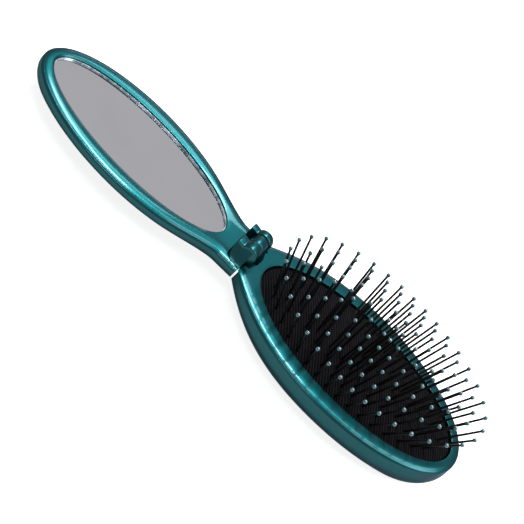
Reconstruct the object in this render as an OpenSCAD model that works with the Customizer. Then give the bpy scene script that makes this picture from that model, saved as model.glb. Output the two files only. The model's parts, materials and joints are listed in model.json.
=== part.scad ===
// Folding hairbrush with a mirror half. The two halves meet at the waist, where a pin joins them.
// Millimetres. X runs along the open brush, the bristle half lies towards +X and the mirror half
// towards -X. +Z is the side of the bristles and the glass. The origin is on the parting plane,
// level with the lowest point of the bristle half's back.

/* [Bristle half] */
// Distance from the parting plane to the tip
head_len = 95; // [85:0.5:110]
// Length of the oval that the plan shape follows
head_oval_l = 96; // [88:0.5:112]
// Largest width
head_w = 61.2; // [54:0.2:70]
// Depth from the front plane to the back
head_depth = 13; // [12:0.1:16]
// Depth at which the side wall starts to curve into the back
head_wall_depth = 4.5; // [3.5:0.1:5.5]
// Thickness of the front frame inside its shell
head_frame_t = 2.2; // [1.6:0.1:2.2]
// Distance from the oval's near end at which the flare leaves it
head_flare = 15; // [13:0.5:19]
// Length of the stretch where the back curves up to the tip
head_tip_run = 15; // [12:0.5:20]

/* [Mirror half] */
// Distance from the parting plane to the tip
mirror_len = 95; // [85:0.5:110]
// Length of the oval that the plan shape follows
mirror_oval_l = 85.6; // [82:0.2:88]
// Largest width
mirror_w = 48.4; // [42:0.2:54]
// Depth from the front plane to the back
mirror_depth = 7; // [6.8:0.1:10]
// Depth at which the side wall starts to curve into the back
mirror_wall_depth = 2.6; // [2.4:0.1:3.2]
// Thickness of the front frame inside its shell
mirror_frame_t = 1.8; // [1.7:0.1:2.2]
// Distance from the oval's near end at which the flare leaves it
mirror_flare = 16; // [10:0.2:18]
// Straight length of the neck
mirror_neck_l = 8.3; // [6:0.1:10]
// Length of the stretch where the back curves up to the tip
mirror_tip_run = 10; // [8:0.5:14]

/* [Waist and shells] */
// Width of both halves where they meet
waist_w = 23.4; // [20:0.2:28]
// Depth of both halves where they meet
waist_depth = 6.5; // [6:0.1:6.7]
// Depth of the straight side wall where the halves meet
waist_wall_depth = 2.3; // [2.2:0.1:3]
// Gap between the two end faces
parting_gap = 0.66; // [0.5:0.02:1]
// Wall thickness of the back shells
shell_t = 1.5; // [1.2:0.1:1.8]
// Thickness of the frames' edge, which lies on the shells' walls
edge_t = 0.55; // [0.5:0.05:0.8]
// Width over which the frames' front rounds down to that edge
edge_w = 2.4; // [1.6:0.1:2.6]
// Height of the rib that locates the bristle half's frame inside its shell
head_rib_h = 1.2; // [0.8:0.1:1.2]
// Height of the rib that locates the mirror half's frame inside its shell
mirror_rib_h = 0.8; // [0.6:0.1:0.8]
// Thickness of both ribs
rib_t = 0.9; // [0.7:0.1:1.2]
// Clearance between a rib and its shell
rib_clear = 0.15; // [0.1:0.01:0.25]
// Distance from the parting plane at which both ribs start
rib_start = 13; // [12:0.5:20]

/* [Bristle pad] */
// Width of the front frame's rim at the tip
rim_tip = 3.7; // [3.4:0.1:6]
// Width of the front frame's rim at the sides
rim_side = 6.8; // [5.6:0.1:9]
// Distance of the opening in the front frame from the parting plane
rim_neck = 6.3; // [6:0.1:9]
// Gap between the cushion and the opening's edge
pad_gap = 0.4; // [0.3:0.05:0.8]
// Distance of the cushion's edge below the front plane
pad_drop = 0.7; // [0.4:0.1:1]
// Thickness of the cushion's edge
pad_edge_t = 1.7; // [1.4:0.1:2]
// Height of the cushion's crown above its edge
pad_rise = 2.6; // [2:0.1:3.2]
// Thickness of the cushion's crowned skin
pad_skin_t = 1.6; // [1.3:0.1:1.7]
// Distance of the tray's long edges inside the cushion's edge
tray_inset = 3; // [2.5:0.1:4]
// Distance of the tray's ends inside the cushion's ends
tray_end_inset = 8; // [6:0.1:10]
// Thickness of the tray
tray_t = 1.2; // [1:0.1:1.5]
// Distance that the tray sinks when the mirror half is folded over
tray_travel = 4.5; // [3:0.1:4.6]
// Width of each stop ear along the tray's edge
ear_w = 8; // [6:0.5:10]
// Distance of each stop ear from the tray's middle
ear_x = 12; // [8:0.5:13]
// Reach of each stop ear under the front frame
ear_reach = 0.6; // [0.4:0.1:0.8]
// Thickness of each stop ear
ear_t = 0.7; // [0.5:0.1:1]

/* [Tray guides and springs] */
// Distance of each guide peg from the middle of the tray
guide_x = 19; // [15:0.5:24]
// Diameter of the guide pegs
peg_d = 3.2; // [2.6:0.1:4]
// Height of the guide pegs above the floor
peg_h = 6.2; // [6:0.1:6.4]
// Clearance round a peg in its sleeve
peg_clear = 0.15; // [0.1:0.01:0.25]
// Wall of the sleeves
sleeve_wall = 1; // [0.8:0.1:1.3]
// Height of the round spring seats above the highest floor under them
seat_h = 0.13; // [0.05:0.01:0.3]
// Width of the seat's rim outside the spring
seat_rim = 0.3; // [0.2:0.1:0.6]
// Clearance between a sunken sleeve and its seat
sleeve_gap = 0.2; // [0.15:0.05:0.3]
// Wire diameter of the tray springs
wire_d = 0.5; // [0.4:0.05:0.6]
// Clearance between a sleeve and its spring
spring_clear = 0.4; // [0.3:0.05:0.7]
// Turns of each spring
spring_turns = 4.5; // [3.5:0.5:5]

/* [Bristles] */
// Diameter of the pins
pin_d = 0.85; // [0.6:0.05:1]
// Length of a pin above the cushion
pin_free_l = 17.3; // [12:0.1:18]
// Depth of a pin in the cushion
pin_root = 1; // [0.6:0.1:1.2]
// Diameter of the ball on each pin
ball_d = 1.5; // [1.2:0.1:2]
// Distance of the outer ring of pins from the cushion's ends
ring_end_inset = 5.6; // [4.5:0.1:8]
// Distance of the outer ring of pins from the cushion's long edges
ring_side_inset = 2.5; // [2:0.1:4.5]
// Difference in length from ring to ring
ring_step_l = 9.8; // [9:0.1:11]
// Difference in width from ring to ring
ring_step_w = 9.2; // [8.8:0.1:9.8]
// Distance between neighbouring pins of a ring
pin_pitch = 5.2; // [5:0.05:8]
// Turn of each ring against the one outside it, as a share of its pins' spacing
ring_turn = 0.3; // [0:0.05:0.5]
// Distance of the upright pins from the pad's middle, towards the hinge
fan_shift = 6.8; // [0:0.2:10]
// Lean of the outer ring's last pin, at the tip
fan_angle_x = 29.4; // [10:0.2:34]
// Lean of the outer ring's pins at the sides
fan_angle_y = 37; // [12:0.5:39]

/* [Mirror glass] */
// Width of the mirror frame's rim at the tip
glass_rim_tip = 4.3; // [4:0.1:7]
// Width of the mirror frame's rim at the sides
glass_rim_side = 6.9; // [5.4:0.1:8]
// Distance of the opening in the mirror frame from the parting plane
glass_rim_neck = 12.7; // [12:0.1:16]
// Depth of the glass below the front plane
glass_recess = 1.4; // [1:0.1:1.5]
// Thickness of the glass
glass_t = 1.2; // [1:0.1:1.5]
// Width of the frame's lip over the glass
glass_lip = 1; // [0.6:0.1:1.4]
// Clearance round the glass
glass_clear = 0.2; // [0.1:0.05:0.3]
// Thickness of the adhesive pad behind the glass
tape_t = 0.5; // [0.3:0.05:0.6]
// Distance of the adhesive pad's edge inside the glass
tape_inset = 1.5; // [1:0.1:3]
// Thickness of the ribs that carry the glass
support_t = 1.2; // [0.8:0.1:1.6]
// Distance between neighbouring cross ribs
support_pitch = 16; // [12:0.5:18]

/* [Hinge] */
// Distance of the hinge axis from the parting plane, towards the mirror half
hinge_back = 1.34; // [1.2:0.02:1.6]
// Diameter of the mirror half's knuckles
knuckle_d = 6.86; // [6:0.02:8]
// Clearance between turning faces of the hinge
hinge_clear = 0.3; // [0.25:0.01:0.4]
// Length of the hinge barrel
barrel_l = 14; // [12:0.1:16]
// Length of the middle knuckle
middle_l = 5; // [4:0.1:6]
// Distance of the middle knuckle from the middle of the barrel
middle_y = 0.8; // [-1:0.1:1]
// Diameter of the hinge pin
hinge_pin_d = 2.4; // [2:0.1:3]
// Radial running clearance of the pin in the middle knuckle
pin_run_clear = 0.05; // [0.03:0.01:0.08]
// Cover left over the blind end of the pin
pin_cover = 0.8; // [0.5:0.1:1.2]
// Reach of the hinge arms from the axis
arm_reach = 5.56; // [5.2:0.02:6]
// Height of the hinge arms above the front plane
arm_h = 5.8; // [5.2:0.1:6]
// Rounding of the hinge arms' upper corner
arm_round = 0.9; // [0.4:0.1:1.4]
// Reach of the web that carries the middle knuckle
web_reach = 3; // [2:0.1:3.6]
// Distance that the skirts beside the barrel stop short of the waist's edge
skirt_margin = 0.5; // [0.3:0.1:1.5]
// Share of its reach that a skirt loses on its way to the waist's edge
skirt_taper = 0.68; // [0.3:0.02:0.8]
// Height of the bristle half's ledges opposite the skirts
ledge_h = 0.6; // [0.4:0.1:0.7]
// Reach of the ledges from the parting plane
ledge_reach = 2.8; // [2:0.1:3]

/* [Hidden] */

teal = [0.09, 0.42, 0.45];
near_black = [0.09, 0.08, 0.08];
ball_teal = [0.25, 0.5, 0.55];

// Share of the half-width over which the side curves into the back
back_curve = 0.6;
// How fast the back deepens away from the waist, and over what length
deepen_power = 2.5;
head_deepen_run = 45;
mirror_deepen_run = 25;
// Handles of the flare's curve at the oval and at the waist, as shares of the flare's length, and
// the slope with which the flare starts at the waist
head_handles = [0.512, 0.293, 0.9];
mirror_handles = [0.4, 0.204, 0];

// Number of steps on the oval, on the flare and on each rounded corner, and the first step's share,
// which leaves a short flat at the tip
oval_n = 22;
tip_step = 0.3;
flare_n = 8;
corner_n = 6;
arc_n = 8;
pad_n = 72;
over = 0.5;             // how far a cut runs past the face it opens
bite = 0.2;             // how far a joined piece runs into its neighbour
face_gap = 0.02;        // gap between faces that rest on each other
straight_t = 0.12;      // straight side under a frame's rounded edge

front_z = head_depth;
half_gap = parting_gap / 2;
seam_z = front_z - edge_t;
head_under_z = front_z - head_frame_t;
mirror_under_z = front_z - mirror_frame_t;
floor_z = shell_t;

pad_open_l = head_len - rim_tip - rim_neck;
pad_open_w = head_w - 2 * rim_side;
pad_centre = rim_neck + pad_open_l / 2;
glass_open_l = mirror_len - glass_rim_tip - glass_rim_neck;
glass_open_w = mirror_w - 2 * glass_rim_side;
glass_centre = glass_rim_neck + glass_open_l / 2;

hinge_seat = 0.04;      // gap between the barrel and the front plane
axis_x = -hinge_back;
knuckle_r = knuckle_d / 2;
middle_r = knuckle_r + hinge_seat - hinge_clear;
axis_z = front_z + knuckle_r + hinge_seat;
outer_in = middle_l / 2 + hinge_clear;
outer_out = barrel_l / 2;
arm_base_z = seam_z + face_gap;

// ---- Plan shapes. u is the distance from the parting plane towards the tip. ----

function bezier(a, b, c, d, t) =
    pow(1 - t, 3) * a + 3 * t * pow(1 - t, 2) * b + 3 * t * t * (1 - t) * c + pow(t, 3) * d;

// Shape of a half: [tip distance, oval length, oval width, flare start, neck length, handles]
head_plan = [head_len, head_oval_l, head_w, head_len - head_oval_l + head_flare, 0, head_handles];
mirror_plan = [mirror_len, mirror_oval_l, mirror_w, mirror_len - mirror_oval_l + mirror_flare,
    mirror_neck_l, mirror_handles];

// Half outline [u, half width] from the tip to the parting plane, moved inwards by inset
function half_outline(plan, inset, end_inset) =
    let (a = plan[1] / 2 - inset, b = plan[2] / 2 - inset, c = plan[0] - plan[1] / 2,
         leave = acos((plan[3] - c) / a), start = [plan[3], b * sin(leave)],
         slope = -b * cos(leave) / (a * sin(leave)),
         waist = [max(plan[4], half_gap + end_inset), waist_w / 2 - inset],
         reach = plan[3] - waist[0])
    concat(
        [for (i = [tip_step, each [1 : oval_n]])
            [c + a * cos(leave * i / oval_n), b * sin(leave * i / oval_n)]],
        [for (i = [1 : flare_n]) bezier(start, start - plan[5][0] * reach * [1, slope],
            waist + plan[5][1] * reach * [1, plan[5][2]], waist, i / flare_n)],
        plan[4] > 0 ? [[half_gap + end_inset, waist_w / 2 - inset]] : []);

// Closed plan outline of a half, towards +X for side 1 and towards -X for side -1
function outline(plan, inset, side, end_inset = 0) =
    let (h = half_outline(plan, inset, end_inset), n = len(h))
    concat([for (i = [0 : n - 1]) [side * h[i][0], h[i][1]]],
        [for (i = [n - 1 : -1 : 0]) [side * h[i][0], -h[i][1]]]);

function oval(l, w, n) = [for (i = [0 : n - 1]) [l / 2 * cos(360 * i / n), w / 2 * sin(360 * i / n)]];

// ---- Solids through a list of rings with the same number of points ----

module skin(rings, flip = false) {
    m = len(rings[0]);
    n = len(rings);
    sides = [for (i = [0 : n - 2], j = [0 : m - 1])
        let (k = (j + 1) % m, a = i * m + j, b = i * m + k, c = a + m, d = b + m)
        each (flip ? [[a, b, d], [a, d, c]] : [[a, d, b], [a, c, d]])];
    first = [for (j = [0 : m - 1]) flip ? m - 1 - j : j];
    last = [for (j = [0 : m - 1]) (n - 1) * m + (flip ? j : m - 1 - j)];
    polyhedron(points = [for (r = rings, p = r) p], faces = concat(sides, [first, last]));
}

function at_height(points, z) = [for (p = points) [p[0], p[1], z]];

// ---- Side view: depth of the straight wall and of the back, at the distance u ----

// Shape of a half: [tip distance, depth, wall depth, tip run, deepening run]
head_side = [head_len, head_depth, head_wall_depth, head_tip_run, head_deepen_run];
mirror_side = [mirror_len, mirror_depth, mirror_wall_depth, mirror_tip_run, mirror_deepen_run];

function deepen(side, u) = 1 - pow(max(0, 1 - u / side[4]), deepen_power);
function wall_depth(side, u) = waist_wall_depth + (side[2] - waist_wall_depth) * deepen(side, u);
function back_depth(side, u, inset) =
    let (full = waist_depth + (side[1] - waist_depth) * deepen(side, u) - inset,
         run = side[3] - inset, into = max(0, u - (side[0] - side[3])) / run, wall = wall_depth(side, u))
    wall + (full - wall) * sqrt(max(0, 1 - into * into));

// Section of a half at one place, open towards the front at the depth top
function section(dir, u, half_w, side, inset, top) =
    let (r = back_curve * half_w, wall = wall_depth(side, u), back = back_depth(side, u, inset),
         right = concat([[half_w, top]], [for (i = [0 : corner_n]) let (t = 90 * i / corner_n)
             [half_w - r + r * cos(t), wall + (back - wall) * sin(t)]]),
         m = len(right))
    [for (i = [0 : 2 * m - 1])
        let (p = i < m ? right[i] : right[2 * m - 1 - i])
        [dir * u, (i < m ? 1 : -1) * p[0], front_z - p[1]]];

// Solid between the back surface, moved inwards by inset, and the depth top
module back_body(plan, side, dir, inset, top, end_inset) {
    rings = [for (p = half_outline(plan, inset, end_inset)) section(dir, p[0], p[1], side, inset, top)];
    skin(rings, dir < 0);
}

// Front frame of a half, still without its opening: a plate with a low rounded edge that lies on the
// shell's wall, the body that fits inside the wall down to under_z, and the locating rib
module front_plate(plan, dir, under_z, rib_h) {
    h = edge_t - straight_t;
    inside = shell_t + rib_clear;
    rings = concat([at_height(outline(plan, 0, dir), seam_z)],
        [for (i = [0 : corner_n]) let (t = 90 * i / corner_n)
            at_height(outline(plan, edge_w * (1 - cos(t)), dir), front_z - h + h * sin(t))]);
    skin(rings, dir < 0);
    translate([0, 0, under_z]) linear_extrude(seam_z - under_z + bite)
        polygon(outline(plan, inside, dir, inside));
    translate([0, 0, under_z - rib_h]) linear_extrude(rib_h + bite)
        intersection() {
            difference() {
                polygon(outline(plan, inside, dir));
                polygon(outline(plan, inside + rib_t, dir));
            }
            translate([dir > 0 ? rib_start : -plan[0], -plan[2] / 2])
                square([plan[0] - rib_start, plan[2]]);
        }
}

// ---- Bristle half ----

pad_l = pad_open_l - 2 * pad_gap;
pad_w = pad_open_w - 2 * pad_gap;
pad_edge_z = front_z - pad_drop;
tray_top_z = pad_edge_z - pad_edge_t;
tray_bottom_z = tray_top_z - tray_t;
sleeve_r = peg_d / 2 + peg_clear + sleeve_wall;
spring_r = sleeve_r + spring_clear + wire_d / 2;
seat_r = spring_r + wire_d / 2 + seat_rim;
seat_z = front_z - back_depth(head_side, pad_centre - guide_x - seat_r, shell_t) + seat_h;
sleeve_bottom_z = seat_z + sleeve_gap + tray_travel;
crown_power = 2.5;

// Height of the cushion's top at a place given as a share of the way to its edge
function crown_z(share) = pad_edge_z + pad_rise * (1 - pow(min(1, share), crown_power));
function pad_share(x, y) = norm([(x - pad_centre) / (pad_l / 2), y / (pad_w / 2)]);

module head_front_frame() {
    color(teal) difference() {
        union() {
            difference() {
                front_plate(head_plan, 1, head_under_z, head_rib_h);
                translate([pad_centre, 0, head_under_z - head_rib_h - over])
                    linear_extrude(head_frame_t + head_rib_h + 2 * over)
                        polygon(oval(pad_open_l, pad_open_w, pad_n));
            }
            middle_knuckle();
            for (s = [-1, 1]) skirt(ledge_profile(), s, outer_out + hinge_clear, half_gap, 1);
        }
        translate([0, middle_y, 0])
            pin_hole(middle_l + 2 * over, hinge_pin_d / 2 + pin_run_clear);
    }
}

module guide_places() {
    for (s = [-1, 1]) translate([pad_centre + s * guide_x, 0, 0]) children();
}

module head_back_shell() {
    color(teal) {
        difference() {
            back_body(head_plan, head_side, 1, 0, edge_t, 0);
            back_body(head_plan, head_side, 1, shell_t, 0, shell_t);
        }
        guide_places() translate([0, 0, floor_z - shell_t / 2]) {
            cylinder(h = peg_h + shell_t / 2, d = peg_d, $fn = 32);
            cylinder(h = seat_z - floor_z + shell_t / 2, r = seat_r, $fn = 32);
        }
    }
}

module bristle_tray() {
    tray_l = pad_l - 2 * tray_end_inset;
    tray_w = pad_w - 2 * tray_inset;
    ear_y = pad_open_w / 2 + ear_reach;
    color(near_black) difference() {
        union() {
            translate([pad_centre, 0, tray_bottom_z]) {
                linear_extrude(tray_t) polygon(oval(tray_l, tray_w, pad_n));
                translate([0, 0, tray_t - ear_t]) for (s = [-1, 1])
                    translate([s * ear_x - ear_w / 2, -ear_y, 0]) cube([ear_w, 2 * ear_y, ear_t]);
            }
            guide_places() translate([0, 0, sleeve_bottom_z])
                cylinder(h = tray_bottom_z - sleeve_bottom_z + tray_t / 2, r = sleeve_r, $fn = 32);
        }
        guide_places() translate([0, 0, sleeve_bottom_z - over])
            cylinder(h = tray_top_z - sleeve_bottom_z + 2 * over, d = peg_d + 2 * peg_clear, $fn = 32);
    }
}

// One coil spring between its seat and the tray, with its ends just clear of both
module coil_spring() {
    steps = 14;
    sides = 6;
    low = seat_z + wire_d / 2 + face_gap;
    high = tray_bottom_z - wire_d / 2 - face_gap;
    total = round(spring_turns * steps);
    skin([for (i = [0 : total]) let (turn = 360 * i / steps, z = low + (high - low) * i / total)
        [for (j = [0 : sides - 1]) let (r = spring_r + wire_d / 2 * cos(360 * j / sides))
            [r * cos(turn), r * sin(turn), z + wire_d / 2 * sin(360 * j / sides)]]], true);
}

module tray_springs() {
    color("silver") guide_places() coil_spring();
}

// The cushion is a crowned rubber dome, hollow over the tray
module cushion() {
    shares = [0.2, 0.4, 0.6, 0.75, 0.87, 0.95, 1];
    under = [0.2, 0.45, 0.65, 0.8, 0.88];
    edge = tray_top_z + face_gap;
    least_hollow = 0.1;
    hollow_w = pad_w - 2 * tray_inset;
    hollow_l = pad_l - 2 * tray_end_inset;
    color(near_black) translate([pad_centre, 0, 0]) difference() {
        skin(concat(
            [at_height(oval(pad_l, pad_w, pad_n), edge)],
            [for (i = [len(shares) - 1 : -1 : 0])
                at_height(oval(pad_l * shares[i], pad_w * shares[i], pad_n), crown_z(shares[i]))]));
        skin(concat(
            [at_height(oval(hollow_l, hollow_w, pad_n), edge - over)],
            [for (i = [len(under) - 1 : -1 : 0])
                at_height(oval(hollow_l * under[i], hollow_w * under[i], pad_n),
                    max(edge + least_hollow, crown_z(under[i]) - pad_skin_t))]));
    }
}

// ---- Bristles ----

function ring_len(a, b) = PI * (3 * (a + b) - sqrt((3 * a + b) * (a + 3 * b)));
ring_l = pad_l - 2 * ring_end_inset;
ring_w = pad_w - 2 * ring_side_inset;
function ring_axes(k) = [ring_l - (k - 1) * ring_step_l, ring_w - (k - 1) * ring_step_w] / 2;
// Pins of ring k, an even number so that each has its counterpart across the pad
function ring_count(k) = let (r = ring_axes(k)) 2 * round(ring_len(r[0], r[1]) / pin_pitch / 2);
// Foot of each pin of ring k, evenly spaced along the oval and staggered from ring to ring
function pin_feet(k) =
    let (r = ring_axes(k), n = ring_count(k), even = (r[0] - r[1]) / (r[0] + r[1]) / 2,
         start = 0.5 + (k - 1) * ring_turn)
    [for (i = [0 : n - 1]) let (a = 360 * (i + start) / n, t = a + even * sin(2 * a) * 180 / PI,
        x = pad_centre + r[0] * cos(t), y = r[1] * sin(t)) [x, y, crown_z(pad_share(x, y))]];
// Direction of a pin: it leans outwards with its distance from the upright ones
fan_x = pad_centre - fan_shift;
function pin_dir(foot) =
    let (x = sin(fan_angle_x * (foot[0] - fan_x) / (pad_centre + ring_l / 2 - fan_x)),
         y = sin(fan_angle_y * foot[1] / (ring_w / 2)))
    [x, y, sqrt(max(0.1, 1 - x * x - y * y))];

// Turns +Z to the direction d
module along(d) {
    rotate([0, acos(d[2] / norm(d)), atan2(d[1], d[0])]) children();
}

module bristle_pins(k) {
    color(near_black) for (foot = pin_feet(k)) translate(foot) along(pin_dir(foot))
        translate([0, 0, -pin_root]) cylinder(h = pin_root + pin_free_l - ball_d / 2, d = pin_d, $fn = 8);
}

module ball_tips(k) {
    color(ball_teal) for (foot = pin_feet(k)) translate(foot) along(pin_dir(foot))
        translate([0, 0, pin_free_l - ball_d / 2]) sphere(d = ball_d, $fn = 16);
}

// ---- Mirror half ----

glass_top_z = front_z - glass_recess;
glass_bottom_z = glass_top_z - glass_t;
glass_l = glass_open_l + 2 * glass_lip;
glass_w = glass_open_w + 2 * glass_lip;

module mirror_frame() {
    color(teal) difference() {
        union() {
            difference() {
                front_plate(mirror_plan, -1, mirror_under_z, mirror_rib_h);
                translate([-glass_centre, 0, front_z - glass_recess - over])
                    linear_extrude(glass_recess + 2 * over)
                        polygon(oval(glass_open_l, glass_open_w, pad_n));
                translate([-glass_centre, 0, mirror_under_z - mirror_rib_h - over])
                    linear_extrude(glass_top_z - mirror_under_z + mirror_rib_h + over)
                        polygon(oval(glass_l + 2 * glass_clear, glass_w + 2 * glass_clear, pad_n));
            }
            for (s = [-1, 1]) outer_knuckle(s);
        }
        blind_pin_hole();
    }
}

module mirror_glass() {
    color("silver") translate([-glass_centre, 0, glass_bottom_z])
        linear_extrude(glass_t) polygon(oval(glass_l, glass_w, pad_n));
}

module mirror_adhesive_pad() {
    color("white") translate([-glass_centre, 0, glass_bottom_z - tape_t])
        linear_extrude(tape_t) polygon(oval(glass_l - 2 * tape_inset, glass_w - 2 * tape_inset, pad_n));
}

module mirror_back_shell() {
    top = glass_bottom_z - tape_t;
    spine_l = 3.6 * support_pitch;
    span = glass_w * 2 / 3;
    color(teal) {
        difference() {
            back_body(mirror_plan, mirror_side, -1, 0, edge_t, 0);
            back_body(mirror_plan, mirror_side, -1, shell_t, 0, shell_t);
        }
        intersection() {
            back_body(mirror_plan, mirror_side, -1, shell_t / 2, mirror_frame_t, shell_t / 2);
            union() {
                for (i = [-1.5 : 1.5])
                    translate([-glass_centre + i * support_pitch - support_t / 2, -span / 2, 0])
                        cube([support_t, span, top]);
                translate([-glass_centre - spine_l / 2, -support_t / 2, 0])
                    cube([spine_l, support_t, top]);
            }
        }
    }
}

// ---- Hinge ----

module pin_hole(length, r) {
    translate([axis_x, length / 2, axis_z]) rotate([90, 0, 0]) cylinder(h = length, r = r, $fn = 48);
}

// The pin goes in from the +Y side and stops in a blind hole
module blind_pin_hole() {
    translate([axis_x, waist_w / 2, axis_z]) rotate([90, 0, 0])
        cylinder(h = waist_w / 2 + outer_out - pin_cover, d = hinge_pin_d, $fn = 48);
}

module hinge_pin() {
    color("silver") translate([axis_x, outer_out - pin_cover, axis_z]) rotate([90, 0, 0])
        cylinder(h = barrel_l - 2 * pin_cover, d = hinge_pin_d, $fn = 48);
}

module across(from_y, to_y) {
    translate([0, to_y, 0]) rotate([90, 0, 0]) linear_extrude(to_y - from_y) children();
}

module middle_knuckle() {
    rise = sqrt(pow(middle_r, 2) - pow(half_gap + hinge_back, 2));
    translate([0, middle_y, 0]) {
        pin_solid(middle_l, middle_r);
        across(-middle_l / 2, middle_l / 2) polygon([
            [half_gap, arm_base_z], [half_gap, axis_z - rise + bite], [axis_x, axis_z],
            [axis_x + middle_r, axis_z], [half_gap + web_reach, front_z],
            [half_gap + web_reach, arm_base_z]]);
    }
}

module pin_solid(length, r) {
    translate([axis_x, length / 2, axis_z]) rotate([90, 0, 0]) cylinder(h = length, r = r, $fn = 64);
}

// Side view of a hinge arm from its left wall to the knuckle's middle
function arm_profile() =
    let (left = axis_x - arm_reach, top = front_z + arm_h)
    [[left, arm_base_z], [left, top - arm_round], [left + arm_round, top], [axis_x, top],
        [-half_gap, axis_z], [-half_gap, arm_base_z]];

// Side view of a skirt where it leaves the barrel's end
function skirt_profile() =
    let (left = axis_x - arm_reach, top = front_z + arm_h, meet = acos((top - axis_z) / knuckle_r),
         last = asin((-half_gap - axis_x) / knuckle_r))
    concat([[left, arm_base_z], [left, top - arm_round], [left + arm_round, top]],
        [for (i = [0 : arc_n]) let (t = -meet + (meet + last) * i / arc_n)
            [axis_x + knuckle_r * sin(t), axis_z + knuckle_r * cos(t)]],
        [[-half_gap, arm_base_z]]);

// Side view of a ledge on the bristle half
function ledge_profile() = [[half_gap, arm_base_z], [half_gap, front_z + ledge_h],
    [ledge_reach - ledge_h, front_z + ledge_h], [ledge_reach, front_z], [ledge_reach, arm_base_z]];

// Solid on side s that runs from the distance y down to the waist's edge. Its height above the arms'
// foot and its reach from face_x shrink on the way.
module skirt(profile, s, y, face_x, first_share) {
    n = 6;
    last_share = 0.05;
    end = waist_w / 2 - skirt_margin;
    skin([for (i = [0 : n]) let (t = i / n, reach = 1 - skirt_taper * t,
        share = last_share + (first_share - last_share) * pow(1 - t, 2))
        [for (p = profile) [face_x + (p[0] - face_x) * reach, s * (y + (end - y) * t),
            arm_base_z + (p[1] - arm_base_z) * share]]], s < 0);
}

// Outer knuckle on side s, with its arm and the skirt that runs down beside it
module outer_knuckle(s) {
    from_y = s > 0 ? middle_y + outer_in : -outer_out;
    to_y = s > 0 ? outer_out : middle_y - outer_in;
    translate([axis_x, to_y, axis_z]) rotate([90, 0, 0])
        cylinder(h = to_y - from_y, r = knuckle_r, $fn = 64);
    across(from_y, to_y) polygon(arm_profile());
    skirt(skirt_profile(), s, outer_out, -half_gap, 0.97);
}

head_front_frame();
head_back_shell();
bristle_tray();
tray_springs();
cushion();
bristle_pins(1);  // bristle_pins_ring_1
bristle_pins(2);  // bristle_pins_ring_2
bristle_pins(3);  // bristle_pins_ring_3
bristle_pins(4);  // bristle_pins_ring_4
bristle_pins(5);  // bristle_pins_ring_5
ball_tips(1);  // ball_tips_ring_1
ball_tips(2);  // ball_tips_ring_2
ball_tips(3);  // ball_tips_ring_3
ball_tips(4);  // ball_tips_ring_4
ball_tips(5);  // ball_tips_ring_5
mirror_frame();
mirror_back_shell();
mirror_glass();
mirror_adhesive_pad();
hinge_pin();
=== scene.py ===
"""Looks of a folding hairbrush whose second half is a mirror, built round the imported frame.

Everything is in the frame of the CAD model: X runs along the open brush, the bristle half lies towards +X
and +Z is the side of the bristles and the glass. Sizes are written in millimetres and scaled by MM.
"""

import json
import math

import bmesh
import bpy
import numpy as np
from mathutils import Matrix, Vector

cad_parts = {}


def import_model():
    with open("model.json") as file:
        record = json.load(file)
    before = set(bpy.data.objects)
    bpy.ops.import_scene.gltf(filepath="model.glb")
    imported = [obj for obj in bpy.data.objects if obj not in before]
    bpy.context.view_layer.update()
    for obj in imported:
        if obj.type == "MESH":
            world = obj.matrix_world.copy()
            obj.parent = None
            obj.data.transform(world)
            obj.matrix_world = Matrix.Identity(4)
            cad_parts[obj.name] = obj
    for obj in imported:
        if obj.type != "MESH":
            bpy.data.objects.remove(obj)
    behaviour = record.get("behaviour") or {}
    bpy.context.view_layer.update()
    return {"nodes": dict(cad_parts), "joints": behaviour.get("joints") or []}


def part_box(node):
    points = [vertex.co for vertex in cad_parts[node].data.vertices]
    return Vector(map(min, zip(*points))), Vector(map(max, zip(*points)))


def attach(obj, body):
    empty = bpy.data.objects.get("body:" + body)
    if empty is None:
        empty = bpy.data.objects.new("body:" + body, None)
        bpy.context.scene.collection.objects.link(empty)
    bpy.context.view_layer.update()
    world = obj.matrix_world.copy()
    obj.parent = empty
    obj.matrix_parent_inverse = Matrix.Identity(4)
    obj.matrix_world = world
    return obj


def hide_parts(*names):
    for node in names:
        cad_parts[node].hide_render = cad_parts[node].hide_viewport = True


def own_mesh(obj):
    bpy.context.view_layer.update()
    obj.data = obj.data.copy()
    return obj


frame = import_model()
MM = 0.001


# ---- Sizes read from the frame, in millimetres ----

def node_box(name):
    """Low and high corner of a CAD node."""
    low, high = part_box(name)
    return np.array(low) / MM, np.array(high) / MM


HEAD_LOW, HEAD_HIGH = node_box("head_back_shell")
MIRROR_LOW, MIRROR_HIGH = node_box("mirror_back_shell")
PAD_LOW, PAD_HIGH = node_box("cushion")
GLASS_LOW, GLASS_HIGH = node_box("mirror_glass")
SPRING_LOW, SPRING_HIGH = node_box("tray_springs")
JOINTS = {joint["name"]: joint for joint in frame["joints"]}
AXIS_X, _, AXIS_Z = np.array(JOINTS["mirror_fold"]["pos_m"]) / MM

HALF_GAP = HEAD_LOW[0]
HEAD_LEN = HEAD_HIGH[0]
HEAD_W = HEAD_HIGH[1] - HEAD_LOW[1]
HEAD_SEAM_Z = HEAD_HIGH[2]
MIRROR_LEN = -MIRROR_LOW[0]
MIRROR_W = MIRROR_HIGH[1] - MIRROR_LOW[1]
MIRROR_SEAM_Z = MIRROR_HIGH[2]

# ---- Sizes that the frame doesn't give, in millimetres ----

FRONT_Z = 13.0            # height of both fronts above the table
SHELL_T = 1.5
WAIST_W = 23.4
WAIST_DEPTH = 6.5         # from the front to the back at the waist
WAIST_WALL = 2.3          # height of the straight side wall at the waist
BACK_CURVE = 0.6          # share of the half-width over which a side curves into the back
DEEPEN_POWER = 2.5        # how suddenly a half deepens from the waist on

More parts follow.
